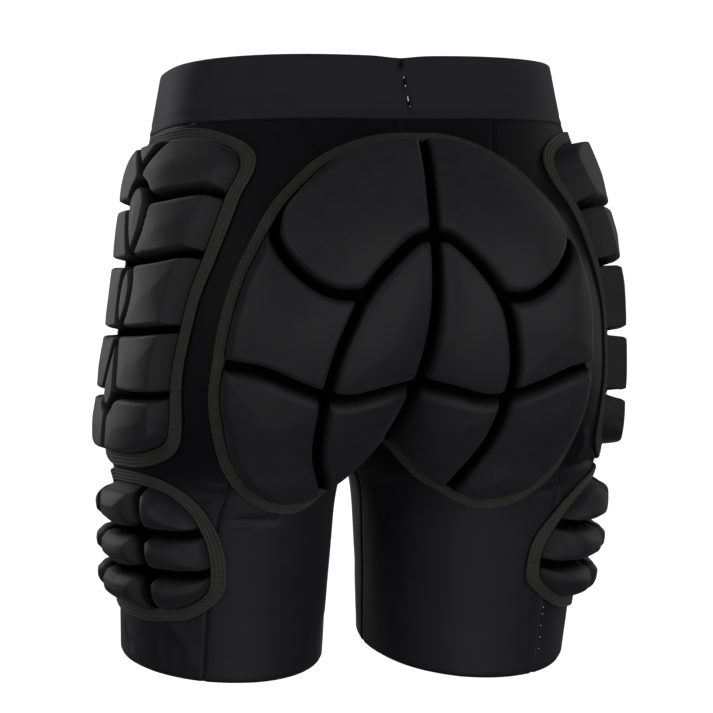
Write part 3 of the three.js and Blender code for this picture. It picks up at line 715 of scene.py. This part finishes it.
def make_border(pad, name, material):
    """The flat seam round a pad: raised rows of thread over a thin band, with a deep line at its inside."""
    width = pad.mould["border"]
    steps_a_stitch = 4
    count = int(even_outline(pad, 8)[2] / STITCH_PITCH) * steps_a_stitch
    line, out, length = even_outline(pad, count)
    on_cloth = np.zeros(count)
    probe = pad.lay(line[:, 0] + out[:, 0] * MM, line[:, 1] + out[:, 1] * MM, on_cloth)
    stretch = np.linalg.norm(probe - pad.lay(line[:, 0], line[:, 1], on_cloth), axis=-1) / MM
    stretch = np.maximum(stretch, 1)

    def place(s, t):
        """Places by their shares along the seam and round its section."""
        k = np.round(s * count).astype(int) % count
        over = t < TOP_SHARE
        across = np.where(over, t / TOP_SHARE, (1 - t) / (1 - TOP_SHARE))
        step = (BORDER_GAP + width * across) / stretch[k]
        u = line[k, 0] + out[k, 0] * step
        v = line[k, 1] + out[k, 1] * step
        row = across * THREAD_ROWS
        cord = np.abs(np.sin(math.pi * row)) ** ROW_ROUND
        started = ROW_SHIFT * np.floor(np.minimum(row, THREAD_ROWS - 0.01))
        slant = 2 * math.pi * (s * length / STITCH_PITCH + started)
        twist = 1 - ROW_TWIST + ROW_TWIST * np.cos(slant + ROW_LEAN * (row % 1))
        edge = smooth_step(np.minimum(across, 1 - across), 0, EDGE_RISE)
        top = BORDER_EDGE + edge * (BORDER_BAND + ROW_HEIGHT * cord * twist)
        return pad.lay(u, v, np.where(over, top, BORDER_BACK)), 0 * s

    bm = closed_tube(count, BORDER_PROFILE, place)
    scale_uvs(bm, length, width)
    return finish_piece(bm, name, material, "border", name)


# Folds and creases of the cloth. Each has its side, three or four points given by x and z as seen from
# behind, its half width and its height, which is below zero for a groove. Millimetres. The gain raises
# them all, because black cloth hides low folds.
BACK_FOLDS = (
    (1, ((121, -22), (110, -31), (97, -42), (88, -50)), 2.0, 1.3),
    (1, ((127, -20), (119, -27), (110, -34)), 2.0, 1.1),
    (1, ((115, -25), (103, -33), (94, -42)), 2.4, -0.8),
    (1, ((102, -22), (93, -29), (86, -37)), 2.4, 0.6),
    (1, ((124, -22), (114, -28), (105, -36)), 1.8, -0.8),
    (1, ((128, -253.5), (120, -254.5), (112, -255.5)), 1.3, 0.9),
    (1, ((117, -257), (119.5, -262), (121, -268)), 1.6, 1.0),
    (1, ((114.5, -258), (117, -265), (118.5, -272)), 1.8, -1.1),
    (1, ((117, -277), (97, -276), (76, -276.5)), 2.0, -0.9),
    (1, ((116, -279.5), (106, -279.5), (95, -279)), 1.2, 0.8),
    (1, ((143, -338), (142, -353), (141, -370)), 0.7, -0.7),
    (1, ((139, -340), (132, -350), (128, -362)), 3.5, 0.5),
    (-1, ((-92, -258.5), (-104, -257), (-117, -254)), 1.3, 0.9),
    (-1, ((-94, -263), (-106, -261), (-118, -258)), 2.2, -0.7),
    (-1, ((-112, -247), (-126, -246), (-140, -243)), 1.8, -1.4),
    (-1, ((-118, -240), (-122, -234), (-123, -226)), 5.0, 1.2),
    (-1, ((-84, -267), (-92, -272), (-101, -276)), 4.0, -0.6),
    (-1, ((-70, -280), (-86, -288), (-98, -300)), 6.0, 0.6),
)
FOLD_GAIN = 1.9
# Folds lie behind this level of y, and the pucker beyond this reach
FOLDS_BEHIND = -20 * MM
PUCKER_BEYOND = 120 * MM
# The small pucker at the left hem, by y and z as seen from the side
SIDE_PUCKER = (((-27, -350), (-24, -358), (-19, -364)), 1.6, -2.0)
# The cloth's slow waves: height and length in millimetres, and the first number of their waviness
CLOTH_WAVES = ((0.28, 50, 5), (0.08, 17, 9))


def crease(points, width, flat):
    """How near places are to a fold's line: 1 on it, fading past its half width. Sizes in millimetres."""
    return bump(distance_to(smooth_line(np.array(points) * MM), flat), width * MM)


def fold_height(places, pads):
    """How far the cloth stands off its smooth form at each place of a panel."""
    total = sum(height * MM * drift(places, length * MM, seed) for height, length, seed in CLOTH_WAVES)
    behind = places[:, 1] > FOLDS_BEHIND
    for side, points, width, height in BACK_FOLDS:
        near = crease(points, width, places[:, (0, 2)])
        total += np.where(behind & (places[:, 0] * side > 0), FOLD_GAIN * height * MM * near, 0)
    points, width, height = SIDE_PUCKER
    near = crease(points, width, places[:, 1:])
    total += np.where(places[:, 0] > PUCKER_BEYOND, height * MM * near, 0)
    for pad in pads:
        total *= 1 - pad.cover(places)
    return total


# How much further round than the back seams the seams of the legs run, left and right, in degrees, and by
# which share of the leg they do so
LEG_SEAM_TURN = (-4, 5)
LEG_TURN_DONE = 0.45
# Down to the first of these shares of the drop the seams lie flat; from the second on, the cloth is drawn
# in at a seam and rolls over beside it
SEAMS_SHOW = (0.12, 0.3)
SEAM_DIP = 0.7 * MM
SEAM_ROLL = 0.2 * MM
SEAM_ROLL_AT = 3.0 * MM
SEAM_HALF = 1.2 * MM
# How far the cloth is drawn in at the hem, and over which height
HEM_DIP = 0.9 * MM
HEM_EDGE = 1.6 * MM
# Shade is painted on the torso cloth around the pads, this much as dark as a channel's; it ends round the
# crotch's level
TORSO_SHADE_SHARE = 0.6
TORSO_SHADE_ENDS = (CROTCH_Z - 16 * MM, CROTCH_Z + 2 * MM)
# How finely each panel is cut: columns by its part, and rows
PANEL_COLUMNS = {"back": 72, "side": 64, "front": 48}
PANEL_ROWS = 180


def make_panel(part, side, material, pads):
    """One panel of the shell between two seams, with the seam's edges drawn in."""
    word = "left" if side > 0 else "right"
    bm = fresh_grid(PANEL_COLUMNS[part], PANEL_ROWS)
    mark = bm.verts.layers.float.new("painted_shade")
    s, t = shares_of(bm)
    z = BAND_FOOT - SEAM_GAP - (BAND_FOOT - SEAM_GAP - HEM_Z) * t
    share = garment_share(z)
    leg_turn = by_side(side, LEG_SEAM_TURN) * smooth_step(leg_share(z), 0, LEG_TURN_DONE)
    behind = np.radians(follow(SEAM_ROWS, 1, share) + leg_turn)
    before = np.radians(follow(SEAM_ROWS, 2, share))
    end = loop_end(z)
    reach = section(z)[1]
    start, stop = {"back": (end, behind), "side": (behind, before), "front": (before, -end)}[part]
    angle = start + (stop - start) * s
    probe_angle = 0.01
    out = outward(lambda a, b: loop_surface(a, b, side), angle, z, probe_angle, MM, side)
    places = loop_surface(angle, z, side)
    width = np.abs(stop - start) * reach
    seam = np.minimum(s, 1 - s) * width
    shows = smooth_step(share, *SEAMS_SHOW)
    drawn_in = -SEAM_DIP * bump(seam, SEAM_HALF) * shows
    roll_over = SEAM_ROLL * bump(seam - SEAM_ROLL_AT, SEAM_HALF) * shows
    hem_edge = -HEM_DIP * smooth_step(z - HEM_Z, HEM_EDGE, 0)
    height = fold_height(places, pads) + drawn_in + roll_over + hem_edge
    move_to(bm.verts, lean(places + out * height[:, None]))
    # Painted shade on the torso cloth around the pads, fading out by the crotch
    mark_painted_shade(bm.verts, mark, TORSO_SHADE_SHARE * smooth_step(z, *TORSO_SHADE_ENDS))
    bm.normal_update()
    facing = sum(face.normal.dot(Vector(out[face.verts[0].index])) for face in bm.faces)
    if facing < 0:
        bmesh.ops.reverse_faces(bm, faces=bm.faces)
    scale_uvs(bm, float(width.mean()), BAND_FOOT - HEM_Z)
    name = f"{part}_panel_{word}"
    piece = finish_piece(bm, name, material, "cloth", name, closed=False)
    wall = piece.modifiers.new("cloth_wall", "SOLIDIFY")
    wall.thickness = CLOTH_WALL
    wall.offset = -1
    return piece


# The band's join at the centre back: where it crosses the band's top, and how it slants on the way down;
# its groove, the lip of the overlap beside it, how far off that fades, and how the band's top sags there
JOIN_TOP = -3.0 * MM
JOIN_SLANT = 0.21
JOIN_DEPTH = 1.3 * MM
JOIN_HALF = 1.0 * MM
# The half width of the shade painted along the join's groove
JOIN_SHADE_HALF = 0.8 * MM
LIP_HEIGHT = 0.3 * MM
LIP_EDGE = 0.8 * MM
LIP_ENDS = (9 * MM, 5 * MM)
SAG = 1.4 * MM
SAG_HALF = 12 * MM
# The line of stitches along the band's foot, and the band's slow waves
STITCH_LINE_Z = -15.3 * MM
STITCH_LINE_DEPTH = 0.5 * MM
STITCH_LINE_HALF = 1.2 * MM
BAND_WAVE = 0.35 * MM
BAND_WAVE_LENGTH = 60 * MM
BAND_SEED = 3
# The band's length round the waist, for its knit
BAND_LENGTH = 0.76
# How far past the centre line an angle's cosine has to be, to be on the right half
NEARLY_NOTHING = 1e-9


def make_waistband(material):
    """The doubled elastic band, with rounded folded edges and its join at the centre back."""
    around = 840
    flat_steps = 18
    turn_steps = 6
    stand = (BAND_WALL - CLOTH_WALL) / 2
    corner = BAND_WALL / 2
    straight = BAND_HEIGHT / 2 - corner
    bend = np.linspace(0, math.pi, turn_steps + 1)[1:-1]
    cap = np.stack([np.cos(bend) * corner, np.sin(bend) * corner + straight], axis=-1)
    levels = np.linspace(-straight, straight, flat_steps + 1)
    outer = np.stack([np.full(flat_steps + 1, corner), levels], axis=-1)
    loop = np.concatenate([outer, cap, outer[::-1] * (-1, 1), cap[::-1] * (1, -1)])
    profile = len(loop)

    def place(s, t):
        """Places by their shares round the waist and round the band's section."""
        k = np.round(t * profile).astype(int) % profile
        depth, height = loop[k, 0], loop[k, 1]
        angle = 2 * math.pi * s - math.pi / 2
        side = np.where(np.cos(angle) < -NEARLY_NOTHING, -1, 1)
        turned = np.where(side > 0, angle, math.pi - angle)
        turned = np.arctan2(np.sin(turned), np.cos(turned))
        base = loop_surface(turned, height, side)
        flank = np.sqrt(np.maximum(1 - np.sin(turned) ** 2, 0))
        flattened = 0.75
        out = unit(np.stack([side * flank * flattened, np.sin(turned), 0 * flank], axis=-1))
        face = depth > 0
        from_join = base[:, 0] - JOIN_TOP + JOIN_SLANT * (BAND_TOP - height)
        behind = (base[:, 1] > 0) & face
        groove = np.where(behind, -JOIN_DEPTH * bump(from_join, JOIN_HALF), 0)
        lip = np.where(behind, LIP_HEIGHT * smooth_step(from_join, 0, LIP_EDGE), 0)
        lip *= smooth_step(from_join, *LIP_ENDS)
        stitch_line = -STITCH_LINE_DEPTH * bump(height - STITCH_LINE_Z, STITCH_LINE_HALF) * face
        wave = BAND_WAVE * drift(base, BAND_WAVE_LENGTH, BAND_SEED) * face
        base[:, 2] -= SAG * bump(from_join, SAG_HALF) * smooth_step(height, 0, BAND_TOP)
        stand_off = stand - corner + depth + groove + lip + stitch_line + wave
        # Shade painted along the join's groove
        painted_shade = np.where(behind, bump(from_join, JOIN_SHADE_HALF), 0)
        return lean(base + out * stand_off[:, None]), painted_shade

    bm = closed_tube(around, profile, place)
    scale_uvs(bm, BAND_LENGTH, 2 * BAND_HEIGHT)
    return finish_piece(bm, "waistband", material, "band", "waistband")


# Light thread ends at the band's join, by level and length, and along the right leg's seam, by level. These
# and their radius are in millimetres.
JOIN_MARKS = ((6.4, 1.3), (1.0, 1.3), (-6.6, 2.4), (-8.2, 2.2), (-12.5, 0.7))
LEG_MARKS = (-334.6, -338.5, -345.5, -352.0, -358.5)
LEG_MARK_LENGTH = 0.8
THREAD_RADIUS = 0.32
# How far the ends lie beside the join and off the band, and round from the seam and off the cloth
BESIDE_JOIN = 0.4 * MM
OFF_BAND = 1.1 * MM
BESIDE_SEAM = 0.055
OFF_CLOTH = 0.25 * MM


def make_thread_ends(material):
    """The few light thread ends that show along the band's join and the right leg's seam."""
    bm = bmesh.new()
    marks = []
    for z, length in JOIN_MARKS:
        x = JOIN_TOP - JOIN_SLANT * (BAND_TOP - z * MM) + BESIDE_JOIN
        marks.append((seat_surface(np.array([x]), np.array([z * MM]))[0] + (0, OFF_BAND, 0), length))
    for z in LEG_MARKS:
        seam = float(follow(SEAM_ROWS, 1, garment_share(z * MM)))
        angle = math.radians(seam + LEG_SEAM_TURN[1]) - BESIDE_SEAM
        place = loop_surface(np.array([angle]), np.array([z * MM]), -1)[0]
        marks.append((place + (0, OFF_CLOTH, 0), LEG_MARK_LENGTH))
    for place, length in marks:
        made = bmesh.ops.create_uvsphere(bm, u_segments=10, v_segments=6, radius=THREAD_RADIUS * MM)
        middle = Vector(lean(place))
        stretch = length / (2 * THREAD_RADIUS)
        for vert in made["verts"]:
            vert.co = Vector((vert.co.x, vert.co.y, vert.co.z * stretch)) + middle
    return finish_piece(bm, "thread_ends", material, "band")


# Materials


def linear(code):
    """An sRGB hex colour as a linear colour."""
    parts = [int(code[k : k + 2], 16) / 255 for k in (1, 3, 5)]
    return [p / 12.92 if p <= 0.04045 else ((p + 0.055) / 1.055) ** 2.4 for p in parts] + [1.0]


def add_node(tree, kind, links=(), **settings):
    """A node with its settings; links name an input and the output that feeds it."""
    node = tree.nodes.new(kind)
    for key, value in settings.items():
        if key.startswith("in_"):
            place = key[3:]
            place = int(place) if place.isdigit() else place.replace("_", " ")
            node.inputs[place].default_value = value
        else:
            setattr(node, key, value)
    for place, output in links:
        tree.links.new(output, node.inputs[place])
    return node


# Millimetres in a metre, which turn a pattern's pitch into its scale
PER_METRE = 1000
# The depth of the knit's relief, and how much the roughness varies either way
RELIEF = 0.12 * MM
ROUGHNESS_VARIES = 0.06


def cloth_material(name, light, dark, patch_mm, knit_mm, knit, nap, roughness, sheen, specular):
    """Black knitted cloth: mottled colour, stitches of a given pitch, a brushed nap and a soft sheen.

    In a pad's channels shade is painted: the colour goes to near-black, without sheen or specular.
    The torso cloth around the pads and the band's join get part of that painted shade.
    """
    material = bpy.data.materials.new(name)
    material.use_nodes = True
    tree = material.node_tree
    shader = tree.nodes["Principled BSDF"]
    shader.inputs["Sheen Roughness"].default_value = 0.5
    shader.inputs["Sheen Tint"].default_value = linear("#c4c4cc")
    place = add_node(tree, "ShaderNodeTexCoord").outputs["Object"]
    patch = add_node(
        tree, "ShaderNodeTexNoise", [("Vector", place)],
        in_Scale=PER_METRE / patch_mm, in_Detail=5.0, in_Roughness=0.6,
    ).outputs["Fac"]
    painted_shade = add_node(tree, "ShaderNodeAttribute", attribute_name="painted_shade").outputs["Fac"]
    mix = add_node(tree, "ShaderNodeMix", [(0, patch)], data_type="RGBA")
    mix.inputs["A"].default_value = linear(dark)
    mix.inputs["B"].default_value = linear(light)
    # The painted shade: the vertex attribute mixes the colour towards near-black
    deep = add_node(tree, "ShaderNodeMix", [(0, painted_shade), ("A", mix.outputs["Result"])], data_type="RGBA")
    deep.inputs["B"].default_value = linear("#030303")
    tree.links.new(deep.outputs["Result"], shader.inputs["Base Color"])
    # The painted shade also takes away sheen and specular; the roughness follows the patches
    for socket, source, low, high in (
        ("Sheen Weight", painted_shade, sheen, 0),
        ("Specular IOR Level", painted_shade, specular, 0),
        ("Roughness", patch, roughness - ROUGHNESS_VARIES, roughness + ROUGHNESS_VARIES),
    ):
        amount = add_node(tree, "ShaderNodeMapRange", [("Value", source)], in_To_Min=low, in_To_Max=high)
        tree.links.new(amount.outputs["Result"], shader.inputs[socket])
    loops = add_node(tree, "ShaderNodeTexVoronoi", [("Vector", place)], in_Scale=PER_METRE / knit_mm)
    fibres = add_node(
        tree, "ShaderNodeTexNoise", [("Vector", place)], in_Scale=3 * PER_METRE / knit_mm, in_Detail=2.0
    )
    stitches = add_node(
        tree, "ShaderNodeBump", [("Height", loops.outputs["Distance"])], in_Strength=knit, in_Distance=RELIEF
    )
    fuzz = add_node(
        tree, "ShaderNodeBump", [("Height", fibres.outputs["Fac"]), ("Normal", stitches.outputs[0])],
        in_Strength=nap, in_Distance=RELIEF,
    )
    tree.links.new(fuzz.outputs[0], shader.inputs["Normal"])
    return material


def plain_material(name, colour, roughness, glow=0.0):
    """An even material, which may give light of its own."""
    material = bpy.data.materials.new(name)
    material.use_nodes = True
    shader = material.node_tree.nodes["Principled BSDF"]
    shader.inputs["Base Color"].default_value = linear(colour)
    shader.inputs["Roughness"].default_value = roughness
    shader.inputs["Specular IOR Level"].default_value = 0.2
    shader.inputs["Emission Color"].default_value = linear(colour)
    shader.inputs["Emission Strength"].default_value = glow
    return material


# The cloths of the garment. Their stitch pitches are about twice the real ones, so that they show.


def elastic_knit():
    # A dense elastic of fine ribs: the least shiny of the cloths, a little purple where it is lit
    return cloth_material(
        "elastic_knit", light="#1c1b21", dark="#121116", patch_mm=9, knit_mm=0.9, knit=0.7, nap=0.5,
        roughness=0.75, sheen=0.08, specular=0.16,
    )


def stretch_jersey():
    # Stretched polyester jersey: smooth, and shinier than the foam cloth where the light grazes it
    return cloth_material(
        "stretch_jersey", light="#17161b", dark="#0e0d11", patch_mm=14, knit_mm=0.8, knit=0.35, nap=0.25,
        roughness=0.55, sheen=0.06, specular=0.16,
    )


def brushed_foam_cloth():
    # Brushed knit pressed over foam: neutral and matt, with a faint nap that greys the edges
    return cloth_material(
        "brushed_foam_cloth", light="#1d1d20", dark="#101012", patch_mm=11, knit_mm=0.8, knit=0.35, nap=0.4,
        roughness=0.60, sheen=0.05, specular=0.18,
    )


def flat_seam_thread():
    # Rows of flat-lock thread: a warmer, slightly lighter black with a rough twist
    return cloth_material(
        "flat_seam_thread", light="#343431", dark="#151514", patch_mm=2.5, knit_mm=0.7, knit=0.7, nap=0.6,
        roughness=0.70, sheen=0.06, specular=0.18,
    )


def white_thread():
    # Spun polyester: ends so short that they read as matt, pale points on the black
    return plain_material("white_thread", "#c8c8ca", 0.7)


def white_light_panel():
    # Evenly lit opal acrylic: a plain white against which the whole outline of the black cloth is clear
    return plain_material("white_light_panel", "#fefefe", 0.9, 1.0)


# Stage, lights and camera


# The camera stands behind the wearer, turned towards the left side, level with the middle of the picture
VIEW_TURN = math.radians(20)
VIEW_DISTANCE = 1.25
EYE_Z = -0.173
PIXELS_PER_RADIAN = 1838
PHOTO_SIDE = 713
SENSOR = 36.0

# The light panel's side and its distance beyond the garment
PANEL_SIDE = 1.9
PANEL_DISTANCE = 3.0

# The lights, which all face one place. Columns: name; degrees round from the camera, positive towards the
# garment's left side; distance from the garment's axis; height; size across and up; power in watts
LIGHT_TARGET = (0, 0, -0.16)
LIGHTS = (
    ("key_softbox", 42, 1.35, 0.12, (0.8, 1.1), 7.5),
    ("right_softbox", -48, 1.35, -0.02, (0.8, 1.1), 8.5),
    ("left_strip", 126, 1.2, 0.35, (0.25, 1.4), 7.5),
    ("right_strip", -120, 1.2, 0.2, (0.25, 1.4), 3.5),
    ("top_softbox", 20, 0.6, 1.2, (1.0, 0.6), 1.8),
    ("low_softbox", -12, 1.4, -0.95, (1.0, 0.5), 7),
)
AIR_LIGHT = 0.05


def towards(azimuth, distance, z):
    """A place at an angle from straight behind the garment, positive towards its left side."""
    return (math.sin(azimuth) * distance, math.cos(azimuth) * distance, z)


def make_camera():
    """The camera of the photograph."""
    data = bpy.data.cameras.new("photo_view")
    data.sensor_width = SENSOR
    data.lens = SENSOR * PIXELS_PER_RADIAN / PHOTO_SIDE
    camera = bpy.data.objects.new("photo_view", data)
    camera.location = towards(VIEW_TURN, VIEW_DISTANCE, EYE_Z)
    camera.rotation_euler = (math.pi / 2, 0, math.pi - VIEW_TURN)
    bpy.context.scene.collection.objects.link(camera)
    bpy.context.scene.camera = camera


def make_backdrop(material):
    """A white light panel beyond the garment, square to the camera."""
    bm = fresh_grid(2, 2)
    shares_of(bm)
    across = np.array([math.cos(VIEW_TURN), -math.sin(VIEW_TURN), 0])
    middle = np.array(towards(VIEW_TURN, -PANEL_DISTANCE, EYE_Z))
    flat = np.array([vert.co[:2] for vert in bm.verts]) * PANEL_SIDE
    move_to(bm.verts, middle + flat[:, :1] * across + flat[:, 1:] * (0, 0, 1))
    backdrop = object_of(bm, "backdrop", material)
    return backdrop


def add_light(name, place, size, power_w):
    """A rectangular light that faces the garment."""
    light = bpy.data.lights.new(name, "AREA")
    light.shape = "RECTANGLE"
    light.size, light.size_y = size
    light.energy = power_w
    lamp = bpy.data.objects.new(name, light)
    lamp.location = place
    lamp.rotation_euler = (Vector(LIGHT_TARGET) - Vector(place)).to_track_quat("-Z", "Y").to_euler()
    bpy.context.scene.collection.objects.link(lamp)
    return lamp


def make_lights():
    """A key at the left, its twin at the right, strips a little behind, weak ones above and below."""
    world = bpy.data.worlds.new("studio_air")
    world.use_nodes = True
    world.node_tree.nodes["Background"].inputs["Color"].default_value = linear("#ffffff")
    world.node_tree.nodes["Background"].inputs["Strength"].default_value = AIR_LIGHT
    bpy.context.scene.world = world
    bpy.context.scene.view_settings.view_transform = "Standard"
    for name, turn, distance, z, size, power_w in LIGHTS:
        add_light(name, towards(VIEW_TURN + math.radians(turn), distance, z), size, power_w)


def main():
    """Everything in the scene: the stage first, then the garment's pieces."""
    make_camera()
    make_lights()
    make_backdrop(white_light_panel())
    jersey = stretch_jersey()
    foam_cloth = brushed_foam_cloth()
    seam_thread = flat_seam_thread()
    pads = pad_designs()
    make_waistband(elastic_knit())
    make_thread_ends(white_thread())
    for side in (1, -1):
        for part in ("back", "side", "front"):
            make_panel(part, side, jersey, pads.values())
    for (kind, side), pad in pads.items():
        word = {0: "", 1: "_left", -1: "_right"}[side]
        make_pad(pad, f"{kind}_pad{word}", *PAD_FINENESS[kind], foam_cloth, PAD_SEED + side)
        make_border(pad, f"{kind}_pad_border{word}", seam_thread)


main()
